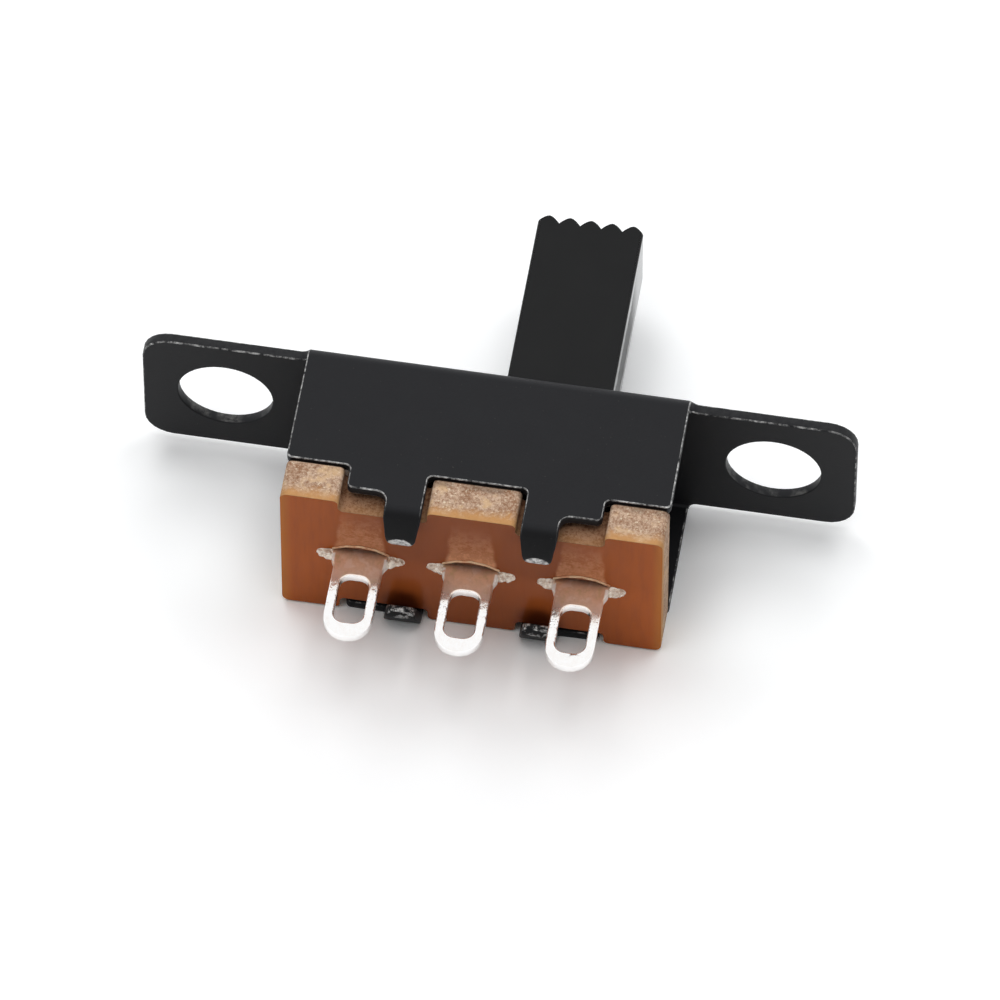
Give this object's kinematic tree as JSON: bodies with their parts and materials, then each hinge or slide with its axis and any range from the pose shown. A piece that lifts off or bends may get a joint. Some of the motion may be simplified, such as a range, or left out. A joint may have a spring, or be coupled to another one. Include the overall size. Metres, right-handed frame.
{
  "type": "slide switch",
  "caption": "Slide switch with a folded steel frame and panel ears, a long ridged handle, a laminate base board and flat solder terminals.",
  "frame": {"origin": "midway between the two ear holes, on the face of the sheet that meets the panel", "axes": "+X along the travel towards the handle's rest end, +Y out of the panel along the handle, +Z across the body, so that the part lies on its -Z side wall"},
  "size_m": [0.0196, 0.0139, 0.0052],
  "materials": {
    "blackened_steel": "black oxide, satin",
    "laminate": "phenolic paper laminate, glossy faces and punched edges",
    "terminal_plate": "bright silver plating on brass",
    "black_moulding": "satin black moulding",
    "contact_spring": "spring bronze"
  },
  "bodies": {
    "housing": {"frame": "blackened_steel", "base_board": "laminate", "terminal_left": "terminal_plate", "terminal_centre": "terminal_plate", "terminal_right": "terminal_plate"},
    "slider": {"slider": "black_moulding", "contact_clip": "contact_spring"}
  },
  "joints": [
    {"name": "slider_travel", "type": "slide", "parent": "housing", "child": "slider", "axis": [1, 0, 0], "range_m": [-0.003, 0]}
  ]
}
